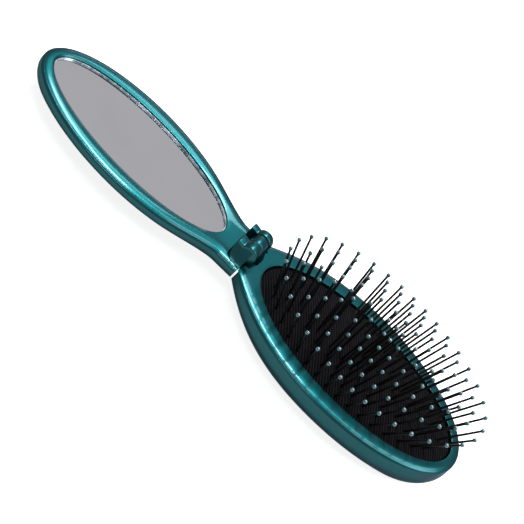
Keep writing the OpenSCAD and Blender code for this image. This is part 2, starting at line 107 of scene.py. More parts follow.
# A half: its direction along X, the sizes of its outline, the depth of its back and its side wall,
# the lengths over which they change, and the outer roll and inner edge of its rim.
HEAD = {
    "dir": 1, "len": HEAD_LEN, "oval_l": 96, "w": HEAD_W, "flare": 15, "neck": 0,
    "handles": (0.512, 0.293), "slope": 0.9, "depth": FRONT_Z, "wall": 4.5,
    "tip_run": 15, "deepen_run": 45, "seam_z": HEAD_SEAM_Z, "roll_w": 5.2, "roll_h": 1.9,
    "roll_power": 0.8, "inner_drop": 0.03, "inner_round": 0.12,
}
MIRROR = {
    "dir": -1, "len": MIRROR_LEN, "oval_l": 85.6, "w": MIRROR_W, "flare": 16, "neck": 8.3,
    "handles": (0.4, 0.204), "slope": 0, "depth": FRONT_Z - MIRROR_LOW[2], "wall": 2.6,
    "tip_run": 10, "deepen_run": 25, "seam_z": MIRROR_SEAM_Z, "roll_w": 3.8, "roll_h": 1.6,
    "roll_power": 1.0, "inner_drop": 0.3, "inner_round": 0.2,
}
CREST_SHARE = 0.78        # largest share of a rim's width that its outer roll takes
END_ROUND = 0.2           # width of the same roll on the end faces
FRAME_REACH = 0.33        # how far the front frames stand out of their shells' end faces
SEAM_LIP = 0.06           # depth of the groove where a front frame meets its back shell

PAD_OPENING = (48.8, 85.0, 47.6)      # middle, length and width of the opening in the bristle half
GLASS_OPENING = (51.7, 78.0, 34.6)    # the same of the opening in the mirror half
PAD_EDGE_Z = 12.3         # height of the cushion's top at its edge
PAD_RISE = 2.6            # how much higher it is in the middle
CROWN_POWER = 2.5         # how flat it stays round its middle

CORNER_N = 5              # steps of a rounded corner
KNUCKLE_R = 3.43          # outer knuckles, on the mirror half
MIDDLE_R = 3.17           # middle knuckle, on the bristle half
MIDDLE_L = 5.0
MIDDLE_Y = 0.8            # offset of the middle knuckle along Y
ARM_GAP = 0.3             # clearance between the middle knuckle and its neighbours
ARM_OUT = 7.0             # distance of an outer knuckle's end from the middle plane
ARM_LEFT = AXIS_X - 5.56
ARM_TOP = FRONT_Z + 5.8
ARM_BASE = FRONT_Z - 1.0
ARM_ROUND = 0.6
ARM_DIP = 0.4             # drop of an arm's top between its corner and the barrel
SKIRT_END = 11.2          # distance of a skirt's end from the middle plane
SKIRT_TAPER = 0.68        # share of its reach that a skirt loses on its way to the waist's edge
LEDGE_H, LEDGE_REACH = 0.6, 2.8

PIN_R = 0.425
PIN_LEN = 17.28           # from the pad to the end of the ball
PIN_ROOT = 1.0            # depth of a pin's root in the pad
BALL_R = 0.75
RINGS = 5
RING_L, RING_W = 73.0, 41.8           # length and width of the outer ring
RING_STEP_L, RING_STEP_W = 9.8, 9.2   # how much each ring is shorter and narrower than the one outside it
RING_TURN = 0.3           # turn of each ring against the one outside it, as a share of its pins' spacing
PIN_PITCH = 5.2
PIN_SIDES, BALL_SIDES = 10, 16
FAN_X = 42.0              # place along X of the pins that lean neither way along it
FAN_ANGLE_X, FAN_ANGLE_Y = 29.4, 37.0   # degrees by which the outermost pins lean


# ---- Plan shapes: u is the distance from the parting plane towards the tip ----

def bezier(a, b, c, d, t):
    """Point at t on the cubic curve from a to d with the handles b and c."""
    return (1 - t) ** 3 * a + 3 * t * (1 - t) ** 2 * b + 3 * t * t * (1 - t) * c + t ** 3 * d


def half_outline(half, inset=0.0, end_inset=0.0, oval_n=72, flare_n=26):
    """Points (u, half width) from the tip to the parting plane, moved inwards by inset."""
    a = half["oval_l"] / 2 - inset
    b = half["w"] / 2 - inset
    centre = half["len"] - half["oval_l"] / 2
    flare_u = half["len"] - half["oval_l"] + half["flare"]
    leave = math.acos((flare_u - centre) / a)
    start = np.array([flare_u, b * math.sin(leave)])
    slope = -b * math.cos(leave) / (a * math.sin(leave))
    waist = np.array([max(half["neck"], HALF_GAP + end_inset), WAIST_W / 2 - inset])
    reach = flare_u - waist[0]
    points = []
    for i in range(oval_n + 1):
        turn = leave * i / oval_n
        points.append((centre + a * math.cos(turn), b * math.sin(turn)))
    leaving = start - half["handles"][0] * reach * np.array([1, slope])
    arriving = waist + half["handles"][1] * reach * np.array([1, half["slope"]])
    for i in range(1, flare_n + 1):
        points.append(tuple(bezier(start, leaving, arriving, waist, i / flare_n)))
    if half["neck"]:
        neck_n = 5
        for i in range(1, neck_n + 1):
            u = waist[0] + (HALF_GAP + end_inset - waist[0]) * i / neck_n
            points.append((u, waist[1]))
    return np.array(points)


def rim_lines(half, opening, reach):
    """Outline of a half and the crest of its rim, both as points (u, half width)."""
    outer = half_outline(half, 0, -reach)
    inner = half_outline(half, half["roll_w"], END_ROUND * (1 - reach / HALF_GAP) - reach)
    room = np.linalg.norm(outer - oval_points(opening, 0, outer, 1), axis=1)
    share = np.minimum(1, CREST_SHARE * room / half["roll_w"])
    return outer, outer + (inner - outer) * share[:, None]


def roll_line(half, opening, turn, sink=0.0, reach=0.0):
    """Points (u, half width, z) along a rim's outer roll, at a turn from 0 on its wall to a quarter
    turn on its crest."""
    outer, crest = rim_lines(half, opening, reach)
    inwards = 1 - max(0.0, math.cos(turn)) ** half["roll_power"]
    line = outer + (crest - outer) * (inwards + sink / half["roll_w"])
    z = FRONT_Z - half["roll_h"] * (1 - math.sin(turn) ** half["roll_power"])
    return np.column_stack([line, np.full(len(line), z)])


def seam_turn(half):
    """Turn on a rim's outer roll at which the front frame meets its back shell."""
    return math.asin((1 - (FRONT_Z - half["seam_z"]) / half["roll_h"]) ** (1 / half["roll_power"]))


def close_loop(line, direction, end_n=12):
    """Closed loop through a line of points (u, half width, z), across the end face and back along -Y."""
    end_u, end_y, end_z = line[-1]
    across = [(end_u, end_y * (1 - 2 * i / end_n), end_z) for i in range(1, end_n)]
    back = line[:0:-1] * (1, -1, 1)
    return np.vstack([line, across, back]) * (direction, 1, 1)


def oval_points(opening, grow, toward, direction):
    """Points of an oval opening, grown by grow, each level with the matching point of the line toward."""
    middle, length, width = opening
    a, b = length / 2, width / 2
    turn = np.arctan2(toward[:, 1] / b, (toward[:, 0] - direction * middle) / a)
    return np.stack([direction * middle + (a + grow) * np.cos(turn), (b + grow) * np.sin(turn)], 1)


def deepen(half, u):
    """Share of its change in depth that a half has made at the distance u."""
    return 1 - max(0.0, 1 - u / half["deepen_run"]) ** DEEPEN_POWER


def wall_depth(half, u):
    """Depth of the straight side wall below the front."""
    return WAIST_WALL + (half["wall"] - WAIST_WALL) * deepen(half, u)


def back_depth(half, u, inset):
    """Depth of the back below the front. At the tip it rounds up to the side wall."""
    full = WAIST_DEPTH + (half["depth"] - WAIST_DEPTH) * deepen(half, u) - inset
    into = max(0.0, u - (half["len"] - half["tip_run"])) / (half["tip_run"] - inset)
    wall = wall_depth(half, u)
    return wall + (full - wall) * math.sqrt(max(0.0, 1 - into * into))


def crown_z(share):
    """Height of the cushion at a share of the way from its middle to its edge."""
    return PAD_EDGE_Z + PAD_RISE * (1 - np.minimum(1, share) ** CROWN_POWER)


# ---- Mesh helpers ----

def new_object(name, bm, material, smooth_angle=35):
    """Object from a bmesh in millimetres, with outward faces and smooth shading below the angle."""
    bmesh.ops.remove_doubles(bm, verts=bm.verts, dist=1e-5)
    bmesh.ops.recalc_face_normals(bm, faces=bm.faces)
    bmesh.ops.scale(bm, vec=(MM, MM, MM), verts=bm.verts)
    limit = math.radians(smooth_angle)
    for face in bm.faces:
        face.smooth = True
    for edge in bm.edges:
        if len(edge.link_faces) == 2 and edge.calc_face_angle(0.0) > limit:
            edge.smooth = False
    mesh = bpy.data.meshes.new(name)
    bm.to_mesh(mesh)
    bm.free()
    mesh.materials.append(material)
    obj = bpy.data.objects.new(name, mesh)
    bpy.context.scene.collection.objects.link(obj)
    return obj


def add_grid(bm, rows, close_rows=False, close_columns=False):
    """Quads through rows of points. Returns the rows of vertices."""
    made = [[bm.verts.new(p) for p in row] for row in rows]
    row_n = len(made) if close_rows else len(made) - 1
    for i in range(row_n):
        a, b = made[i], made[(i + 1) % len(made)]
        for j in range(len(a) if close_columns else len(a) - 1):
            k = (j + 1) % len(a)
            bm.faces.new((a[j], a[k], b[k], b[j]))
    return made


def extrude_profile(bm, profile, y_from, y_to, bevel, segments=3, bevel_angle=25):
    """Solid of an XZ profile between two Y planes, with its sharp edges rounded."""
    part = bmesh.new()
    near = [part.verts.new((x, y_from, z)) for x, z in profile]
    far = [part.verts.new((x, y_to, z)) for x, z in profile]
    part.faces.new(near)
    part.faces.new(far[::-1])
    n = len(profile)
    for i in range(n):
        k = (i + 1) % n
        part.faces.new((near[i], far[i], far[k], near[k]))
    bmesh.ops.recalc_face_normals(part, faces=part.faces)
    limit = math.radians(bevel_angle)
    sharp = [e for e in part.edges if e.calc_face_angle(0.0) > limit]
    bmesh.ops.bevel(part, geom=sharp, offset=bevel, segments=segments, profile=0.5, affect="EDGES")
    add_mesh(bm, part)


def add_mesh(bm, part):
    """Moves the faces of part into bm."""
    mesh = bpy.data.meshes.new("scratch")
    part.to_mesh(mesh)
    part.free()
    bm.from_mesh(mesh)
    bpy.data.meshes.remove(mesh)


def arc(cx, cz, r, from_deg, to_deg, n):
    """Points on a circle in the XZ plane. Degrees turn from +X towards +Z."""
    steps = [math.radians(from_deg + (to_deg - from_deg) * i / n) for i in range(n + 1)]
    return [(cx + r * math.cos(t), cz + r * math.sin(t)) for t in steps]


# ---- Materials ----

def linear(r, g, b):
    """Linear colour of an sRGB colour given from 0 to 255."""
    return tuple((c / 255 / 12.92) if c <= 10 else ((c / 255 + 0.055) / 1.055) ** 2.4 for c in (r, g, b))


class Shader:
    """A node material with a few short ways to add nodes."""

    def __init__(self, name):
        self.material = bpy.data.materials.new(name)
        self.material.use_nodes = True
        self.tree = self.material.node_tree
        self.bsdf = self.tree.nodes["Principled BSDF"]

    def add(self, kind, **settings):
        node = self.tree.nodes.new(kind)
        for key, value in settings.items():
            setattr(node, key, value)
        return node

    def link(self, source, target):
        self.tree.links.new(source, target)

    def set(self, **values):
        for key, value in values.items():
            self.bsdf.inputs[key.replace("_", " ")].default_value = value

    def coordinates(self):
        return self.add("ShaderNodeTexCoord").outputs["Object"]

    def noise(self, size, detail=2.0, roughness=0.5):
        """Noise whose features are about size millimetres across."""
        node = self.add("ShaderNodeTexNoise")
        node.inputs["Scale"].default_value = 1 / (size * MM)
        node.inputs["Detail"].default_value = detail
        node.inputs["Roughness"].default_value = roughness
        self.link(self.coordinates(), node.inputs["Vector"])
        return node.outputs["Fac"]

    def ramp(self, value, low, high, low_at=0.3, high_at=0.7):
        """Colour between low and high as value goes from low_at to high_at."""
        node = self.add("ShaderNodeValToRGB")
        node.color_ramp.elements[0].position = low_at
        node.color_ramp.elements[1].position = high_at
        node.color_ramp.elements[0].color = (*low, 1)
        node.color_ramp.elements[1].color = (*high, 1)
        self.link(value, node.inputs["Fac"])
        return node.outputs["Color"]

    def spread(self, value, low, high):
        node = self.add("ShaderNodeMapRange")
        node.inputs["To Min"].default_value = low
        node.inputs["To Max"].default_value = high
        self.link(value, node.inputs["Value"])
        return node.outputs["Result"]

    def bump(self, height, strength, distance):
        """Bump of the given height in millimetres."""
        node = self.add("ShaderNodeBump")
        node.inputs["Strength"].default_value = strength
        node.inputs["Distance"].default_value = distance * MM
        self.link(height, node.inputs["Height"])
        self.link(node.outputs["Normal"], self.bsdf.inputs["Normal"])


def pearl_teal():
    """Moulded plastic in a metallic pearl paint: fine flakes under a clear gloss."""
    shader = Shader("pearl_teal")
    flakes = shader.noise(0.22, detail=3, roughness=0.7)
    colour = shader.ramp(flakes, linear(6, 55, 60), linear(13, 68, 72))
    shader.link(colour, shader.bsdf.inputs["Base Color"])
    shader.link(shader.spread(shader.noise(9.0), 0.3, 0.34), shader.bsdf.inputs["Roughness"])
    shader.set(Metallic=0.92, Specular_Tint=(*linear(80, 158, 165), 1))
    shader.set(Coat_Weight=0.075, Coat_IOR=2.2, Coat_Roughness=0.09)
    shader.bump(flakes, 0.05, 0.02)
    return shader.material


def black_rubber():
    """Cushion rubber with fine slanting ribs."""
    shader = Shader("black_rubber")
    rib_angle = math.radians(-59.6)
    rib_pitch = 1.0
    across = (-math.sin(rib_angle), math.cos(rib_angle), 0)
    along = shader.add("ShaderNodeVectorMath", operation="DOT_PRODUCT")
    along.inputs[1].default_value = [c * 2 * math.pi / (rib_pitch * MM) for c in across]
    shader.link(shader.coordinates(), along.inputs[0])
    wave = shader.add("ShaderNodeMath", operation="SINE")
    shader.link(along.outputs["Value"], wave.inputs[0])
    rib = shader.add("ShaderNodeMapRange")
    rib.inputs["From Min"].default_value = -1.0
    shader.link(wave.outputs[0], rib.inputs["Value"])
    colour = shader.ramp(rib.outputs["Result"], linear(2, 2, 3), linear(18, 17, 19), 0.4, 1.0)
    shader.link(colour, shader.bsdf.inputs["Base Color"])
    shader.link(shader.spread(shader.noise(3.0), 0.62, 0.8), shader.bsdf.inputs["Roughness"])
    shader.set(Specular_IOR_Level=0.015)
    shader.bump(rib.outputs["Result"], 1.0, 0.14)
    return shader.material


def plain_plastic(name, low, high, roughness, size=1.5, bump=0.01, shine=0.5):
    """Moulded plastic with a faint mottle of the given size and height in millimetres."""
    shader = Shader(name)
    mottle = shader.noise(size)
    shader.link(shader.ramp(mottle, low, high), shader.bsdf.inputs["Base Color"])
    shader.link(shader.spread(mottle, roughness - 0.05, roughness + 0.05), shader.bsdf.inputs["Roughness"])
    shader.set(Specular_IOR_Level=shine)
    shader.bump(mottle, 0.3, bump)
    return shader.material


def steel(name, roughness):
    """Drawn steel wire or pin."""
    shader = Shader(name)
    grain = shader.noise(0.3)
    shader.link(shader.ramp(grain, linear(150, 150, 152), linear(178, 178, 180)),
                shader.bsdf.inputs["Base Color"])
    shader.link(shader.spread(grain, roughness - 0.05, roughness + 0.1), shader.bsdf.inputs["Roughness"])
    shader.set(Metallic=1.0)
    return shader.material


def mirror_silver():
    """Silvered glass, with the faint haze of handling."""
    shader = Shader("mirror_silver")
    haze = shader.noise(14.0)
    shader.link(shader.ramp(haze, linear(198, 197, 203), linear(201, 200, 206)),
                shader.bsdf.inputs["Base Color"])
    shader.link(shader.spread(haze, 0.012, 0.02), shader.bsdf.inputs["Roughness"])
    shader.set(Metallic=1.0)
    return shader.material


def ground_glass():
    """Ground edge of the mirror glass: pale and glossy, with streaks of painted glint along it."""
    shader = Shader("ground_glass")
    glint_streaks = shader.noise(5.0, detail=4, roughness=0.7)
    # The pale grey is the edge's own colour; the lighter streaks along it are painted glints.
    shader.link(shader.ramp(glint_streaks, linear(96, 118, 126), linear(206, 216, 222), 0.4, 0.6),
                shader.bsdf.inputs["Base Color"])
    shader.link(shader.spread(glint_streaks, 0.1, 0.3), shader.bsdf.inputs["Roughness"])
    shader.set(Metallic=0.3)
    return shader.material


def pearl_ball():
    """Ball tips in the same pearl teal, darker towards their edges."""
    shader = Shader("teal_ball")
    mottle = shader.noise(0.8)
    shader.link(shader.ramp(mottle, linear(26, 64, 72), linear(42, 86, 94)), shader.bsdf.inputs["Base Color"])
    shader.link(shader.spread(mottle, 0.3, 0.4), shader.bsdf.inputs["Roughness"])
    shader.set(Metallic=0.4, Specular_Tint=(*linear(12, 26, 36), 1), Specular_IOR_Level=0.8)
    shader.set(Coat_Weight=0.8, Coat_IOR=1.7, Coat_Roughness=0.22)
    return shader.material


TEAL = pearl_teal()
RUBBER = black_rubber()
NYLON = plain_plastic("black_nylon", linear(3, 3, 4), linear(7, 7, 8), 0.5, shine=0.12)
BALL = pearl_ball()
TRAY = plain_plastic("black_plastic", linear(14, 14, 15), linear(26, 26, 27), 0.5)
STEEL = steel("spring_steel", 0.3)
SILVER = mirror_silver()
EDGE = ground_glass()
FOAM = plain_plastic("foam_tape", linear(196, 194, 188), linear(216, 214, 208), 0.9, size=0.4, bump=0.05)


# ---- Shells and frames ----

def shell_rows(half, inset, tops):
    """Rows of points across a shell, each from the top of one side, given by tops, to the other."""
    side_n, curve_n = 4, 16
    rows = []
    for i, (u, half_w) in enumerate(half_outline(half, inset, inset)):
        side = [tuple(top[i]) for top in tops]
        top_z = side[-1][2]
        wall_z = FRONT_Z - wall_depth(half, u)
        back_z = FRONT_Z - back_depth(half, u, inset)
        reach = BACK_CURVE * half_w
        for j in range(1, side_n):
            side.append((u, half_w, top_z + (wall_z - top_z) * j / side_n))
        for j in range(curve_n + 1):
            turn = math.pi / 2 * j / curve_n
            y = half_w - reach + reach * math.cos(turn)
            side.append((u, y, wall_z - (wall_z - back_z) * math.sin(turn)))
        across = [(u, -y, z) for u, y, z in side[::-1]]
        rows.append([(half["dir"] * u, y, z) for u, y, z in side + across])
    return rows


def back_shell(name, half, opening, body, node):
    """Closed thin shell: outer skin, inner skin and the edges between them."""
    roll_n = 6
    seam = seam_turn(half)
    tops = [roll_line(half, opening, seam, SEAM_LIP)]
    for i in range(roll_n + 1):
        tops.append(roll_line(half, opening, (seam - SEAM_LIP / half["roll_h"]) * (1 - i / roll_n)))
    cavity = half_outline(half, SHELL_T, SHELL_T)
    cavity_top = np.column_stack([cavity, np.full(len(cavity), half["seam_z"])])
    bm = bmesh.new()
    outer = add_grid(bm, shell_rows(half, 0, tops))
    inner = add_grid(bm, shell_rows(half, SHELL_T, [cavity_top]))
    for i in range(len(outer) - 1):
        bm.faces.new((outer[i][0], outer[i + 1][0], inner[i + 1][0], inner[i][0]))
        bm.faces.new((outer[i + 1][-1], outer[i][-1], inner[i][-1], inner[i + 1][-1]))
    last = outer[-1]
    bm.faces.new(last)
    bm.faces.new(inner[-1][::-1])
    bm.faces.new((last[0], last[-1], inner[-1][-1], inner[-1][0]))
    bm.faces.new((outer[0][0], inner[0][0], inner[0][-1], outer[0][-1]))
    shell = new_object(name, bm, TEAL)
    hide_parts(node)
    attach(shell, body)


def front_rim(name, half, opening, body, node, inner_z):
    """Front frame of a half: a ring that rolls over its crest, outwards to the seam and inwards to
    the opening."""
    roll_n, top_n, inner_n = 12, 8, 4
    drop, inner_round = half["inner_drop"], half["inner_round"]
    seam = seam_turn(half)
    start = seam + SEAM_LIP / half["roll_h"]
    lines = [roll_line(half, opening, seam, SEAM_LIP, FRAME_REACH)]
    for i in range(roll_n + 1):
        lines.append(roll_line(half, opening, start + (math.pi / 2 - start) * i / roll_n, 0, FRAME_REACH))
    loops = [close_loop(line, half["dir"]) for line in lines]
    crest = loops[-1][:, :2]
    brink = oval_points(opening, inner_round, crest, half["dir"])
    for i in range(1, top_n + 1):
        share = i / top_n
        across = crest * (1 - share) + brink * share
        loops.append(np.column_stack([across, np.full(len(across), FRONT_Z - drop * share ** 2)]))
    for i in range(1, inner_n + 1):
        turn = math.pi / 2 * i / inner_n
        edge = oval_points(opening, inner_round * (1 - math.sin(turn)), crest, half["dir"])
        z = FRONT_Z - drop - inner_round * (1 - math.cos(turn))
        loops.append(np.column_stack([edge, np.full(len(edge), z)]))
    loops.append(np.column_stack([edge, np.full(len(edge), inner_z)]))
    bm = bmesh.new()
    add_grid(bm, loops, close_rows=True, close_columns=True)
    rim = new_object(name, bm, TEAL)
    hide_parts(node)
    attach(rim, body)


def glass_edge():
    """Ground edge of the glass, a thin pale ring at the foot of the opening's wall."""
    width, height, round_n, turn_n = 0.22, 0.5, 4, 160
    into_glass, into_wall = 0.05, 0.1
    turns = np.arange(turn_n) * 2 * math.pi / turn_n
    middle, length, depth = GLASS_OPENING

    def ring(grow, z):
        x = -middle + (length / 2 + grow) * np.cos(turns)
        y = (depth / 2 + grow) * np.sin(turns)
        return np.column_stack([x, y, np.full(len(turns), z)])

    low = GLASS_HIGH[2] - into_glass
    rows = [ring(into_wall, low), ring(into_wall, low + height)]
    for i in range(round_n + 1):
        turn = math.pi / 2 * i / round_n
        rows.append(ring(-width * math.sin(turn), GLASS_HIGH[2] + height - width * (1 - math.cos(turn))))
    rows.append(ring(-width, low))
    bm = bmesh.new()
    add_grid(bm, rows, close_rows=True, close_columns=True)
    piece = new_object("mirror_glass_edge", bm, EDGE)
    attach(piece, "mirror")


# ---- Hinge ----

def arm_profile(barrel_end, barrel_n):
    """Side view of an arm and its barrel, clockwise from the foot of the left wall. The barrel runs
    from where the arm's top meets it to the angle barrel_end in degrees."""
    corner = arc(ARM_LEFT + ARM_ROUND, ARM_TOP - ARM_ROUND, ARM_ROUND, 180, 90, CORNER_N)
    meet = math.degrees(math.acos((ARM_TOP - ARM_DIP - AXIS_Z) / KNUCKLE_R))
    barrel = arc(AXIS_X, AXIS_Z, KNUCKLE_R, 90 + meet, barrel_end, barrel_n)
    return [(ARM_LEFT, ARM_BASE)] + corner + barrel + [(-HALF_GAP, ARM_BASE)]


def knuckle_profile():
    """Side view of an outer knuckle, whose barrel ends below, at the mirror half's end face."""
    last = math.degrees(math.acos((-HALF_GAP - AXIS_X) / KNUCKLE_R))
    return arm_profile(-last, barrel_n=30)


def skirt_profile():
    """Side view of a skirt, whose crest ends above the mirror half's end face."""
    last = math.degrees(math.asin((-HALF_GAP - AXIS_X) / KNUCKLE_R))
    return arm_profile(90 - last, barrel_n=14)


def ledge_profile():
    """Side view of a ledge of the bristle half, which lies opposite a skirt."""
    top, bevel = FRONT_Z + LEDGE_H, 0.1
    corner = arc(LEDGE_REACH - LEDGE_H, FRONT_Z, LEDGE_H, 90, 0, CORNER_N)
    face = [(HALF_GAP, ARM_BASE), (HALF_GAP, top - bevel), (HALF_GAP + bevel, top)]
    return face + corner + [(LEDGE_REACH, ARM_BASE)]


def skirt(profile, side, start_y, face_x, first_share):
    """Mesh of a skirt or ledge: its height and its reach from face_x shrink towards the waist's edge."""
    steps, last_share = 18, 0.05
    rows = []
    for i in range(steps + 1):
        t = i / steps
        share = last_share + (first_share - last_share) * (1 - t) ** 2
        reach = 1 - SKIRT_TAPER * t ** 2
        y = side * (start_y + (SKIRT_END - start_y) * t)
        rows.append([(face_x + (x - face_x) * reach, y, ARM_BASE + (z - ARM_BASE) * share)
                     for x, z in profile])
    part = bmesh.new()
    made = add_grid(part, rows, close_columns=True)
    part.faces.new(made[0])
    part.faces.new(made[-1][::-1])
    bmesh.ops.recalc_face_normals(part, faces=part.faces)
    return part


def hinge_side(name, side):
    """Outer knuckle on one side, with its arm and the skirt that runs down to the waist's edge."""
    into_arm, first_share = 0.3, 0.985
    inner_y = MIDDLE_Y + side * (MIDDLE_L / 2 + ARM_GAP)
    bm = bmesh.new()
    extrude_profile(bm, knuckle_profile(), inner_y, side * ARM_OUT, bevel=0.4)
    add_mesh(bm, skirt(skirt_profile(), side, ARM_OUT - into_arm, -HALF_GAP, first_share))
    piece = new_object(name, bm, TEAL, smooth_angle=40)
    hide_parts("mirror_frame")
    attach(piece, "mirror")


def middle_knuckle():
    """Knuckle of the bristle half, the web that carries it and the ledges beside the barrel."""
    web_reach = 3.0
    turn = math.degrees(math.acos((HALF_GAP - AXIS_X) / MIDDLE_R))
    foot = [(HALF_GAP, ARM_BASE), (HALF_GAP + web_reach, ARM_BASE), (HALF_GAP + web_reach, FRONT_Z)]
    barrel = arc(AXIS_X, AXIS_Z, MIDDLE_R, 0, 360 - turn, n=44)
    near_y, far_y = MIDDLE_Y - MIDDLE_L / 2, MIDDLE_Y + MIDDLE_L / 2
    bm = bmesh.new()
    extrude_profile(bm, foot[1:] + barrel + foot[:1], near_y, far_y, bevel=0.36)
    for side in (-1, 1):
        add_mesh(bm, skirt(ledge_profile(), side, ARM_OUT + ARM_GAP, HALF_GAP, first_share=1))
    piece = new_object("middle_knuckle", bm, TEAL, smooth_angle=40)
    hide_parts("head_front_frame")
    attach(piece, "head")


# ---- Cushion ----

def cushion():
    """Crowned rubber pad with a rolled edge and a flat underside."""
    turn_n, ring_n, edge_n, edge_round = 180, 34, 4, 0.5
    a, b = (PAD_HIGH[0] - PAD_LOW[0]) / 2, (PAD_HIGH[1] - PAD_LOW[1]) / 2
    middle = (PAD_HIGH[0] + PAD_LOW[0]) / 2
    turns = np.arange(turn_n) * 2 * math.pi / turn_n

    def ring(grow, share, z):
        x = middle + (a * share + grow) * np.cos(turns)
        y = (b * share + grow) * np.sin(turns)
        return np.column_stack([x, y, np.full(turn_n, z)])

    rows = [ring(0, 1, PAD_LOW[2])]
    for i in range(edge_n + 1):
        turn = math.pi / 2 * i / edge_n
        rows.append(ring(edge_round * (math.cos(turn) - 1), 1,
                         PAD_EDGE_Z - edge_round * (1 - math.sin(turn))))
    for i in range(ring_n - 1, 0, -1):
        share = i / ring_n * (1 - edge_round / b)
        rows.append(ring(0, share, crown_z(share)))
    bm = bmesh.new()
    made = add_grid(bm, rows, close_columns=True)
    for row, z in ((made[-1], crown_z(0)), (made[0], PAD_LOW[2])):
        centre = bm.verts.new((middle, 0, z))
        for j in range(turn_n):
            bm.faces.new((row[j], row[(j + 1) % turn_n], centre))
    pad = new_object("rubber_cushion", bm, RUBBER, smooth_angle=60)
    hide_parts("cushion")
    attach(pad, "tray")


# ---- Bristles ----

def ring_length(a, b):
    """Length round an oval with the half axes a and b."""
    return math.pi * (3 * (a + b) - math.sqrt((3 * a + b) * (a + 3 * b)))


def pin_feet(ring):
    """Foot of each pin of a ring and its place round the oval, in radians."""
    a = (RING_L - (ring - 1) * RING_STEP_L) / 2
    b = (RING_W - (ring - 1) * RING_STEP_W) / 2
    count = 2 * round(ring_length(a, b) / PIN_PITCH / 2)
    even = (a - b) / (a + b) / 2      # how far turns are moved so that the pins stand about evenly
    pad_l, pad_w = PAD_HIGH[0] - PAD_LOW[0], PAD_HIGH[1] - PAD_LOW[1]
    feet = []
    for i in range(count):
        base = 2 * math.pi * (i + 0.5 + (ring - 1) * RING_TURN) / count
        turn = base + even * math.sin(2 * base)
        x = PAD_OPENING[0] + a * math.cos(turn)
        y = b * math.sin(turn)
        share = math.hypot((x - PAD_OPENING[0]) / pad_l, y / pad_w) * 2
        feet.append((Vector((x, y, float(crown_z(share)))), turn))
    return feet


def pin_direction(foot):
    """Pins lean outwards with their distance from the upright ones."""
    x = math.sin(math.radians(FAN_ANGLE_X * (foot.x - FAN_X) / (PAD_OPENING[0] + RING_L / 2 - FAN_X)))
    y = math.sin(math.radians(FAN_ANGLE_Y * foot.y / (RING_W / 2)))
    return Vector((x, y, math.sqrt(1 - x * x - y * y))).normalized()


def add_turned(bm, foot, direction, profile, sides):
    """Solid of revolution about a pin's line. The profile is (distance from the foot, radius)."""
    turn = direction.to_track_quat("Z", "Y").to_matrix()
    spots = [2 * math.pi * j / sides for j in range(sides)]
    rows = []
    for along, r in profile:
        rows.append([foot + turn @ Vector((r * math.cos(s), r * math.sin(s), along)) for s in spots])
    made = add_grid(bm, rows, close_columns=True)
    bm.faces.new(made[0])
    bm.faces.new(made[-1][::-1])


def pin_shape():
    """A pin widens where it leaves the cushion and thins slightly towards its ball."""
    root_r, tip_share, into_ball = 0.5, 0.94, 0.2
    flare = [(0, 0.72), (0.25, 0.56), (0.7, 0.44), (1.4, PIN_R)]
    tip = (PIN_LEN - 2 * BALL_R + into_ball, PIN_R * tip_share)
    return [(-PIN_ROOT, root_r)] + flare + [tip]


def ball_shape():
    """A ball drawn out a little towards its pin."""
    centre, n, neck, pole_r = PIN_LEN - BALL_R, 12, 0.25, 0.02
    points = []
    for i in range(n + 1):
        turn = math.pi * i / n
        stretch = 1 + neck * max(0.0, math.cos(turn))
        points.append((centre - BALL_R * stretch * math.cos(turn), max(pole_r, BALL_R * math.sin(turn))))
    return points


def bristle_group(name, ring, pins):
    """Pins and balls of one group, each made as an object of its own on the tray."""
    pin_bm, ball_bm = bmesh.new(), bmesh.new()
    for foot, _ in pins:
        direction = pin_direction(foot)
        add_turned(pin_bm, foot, direction, pin_shape(), PIN_SIDES)
        add_turned(ball_bm, foot, direction, ball_shape(), BALL_SIDES)
    kinds = (
        ("pins", "bristle_pins_ring_", pin_bm, NYLON, "black_nylon"),
        ("balls", "ball_tips_ring_", ball_bm, BALL, "teal_ball"),
    )
    for kind, node, bm, material, slot in kinds:
        piece = new_object(f"{kind}_{name}", bm, material, smooth_angle=50)
        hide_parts(f"{node}{ring}")
        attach(piece, "tray")
        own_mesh(piece)


def sectors(pins, count, axis):
    """Pins in groups along x (0) or y (1), each with the middle of its feet."""
    row = sorted(pins, key=lambda p: p[0][axis])
    groups = [[row[i] for i in part] for part in np.array_split(np.arange(len(row)), count)]
    return [(group, sum((p[0] for p in group), Vector()) / len(group)) for group in groups]


def bristles():
    """Five rings of pins. The long sides and the ends of the outer ring are made as groups of their own, and
    each inner ring as one group."""
    side_share = 0.72       # sine of the place round the oval from which a pin counts as a side's
    side_sectors, end_sectors = 4, 3
    outer = pin_feet(1)
    for side, label in ((-1, "near"), (1, "far")):
        row = [p for p in outer if side * math.sin(p[1]) >= side_share]
        for i, (pins, foot) in enumerate(sectors(row, side_sectors, 0)):
            bristle_group(f"ring_1_{label}_{i + 1}", 1, pins)
    for end, label in ((-1, "hinge"), (1, "tip")):
        row = [p for p in outer if abs(math.sin(p[1])) < side_share and end * math.cos(p[1]) > 0]
        for i, (pins, foot) in enumerate(sectors(row, end_sectors, 1)):
            bristle_group(f"ring_1_{label}_{i + 1}", 1, pins)
    for ring in range(2, RINGS + 1):
        pins = pin_feet(ring)
        bristle_group(f"ring_{ring}", ring, pins)


# ---- Parts inside ----

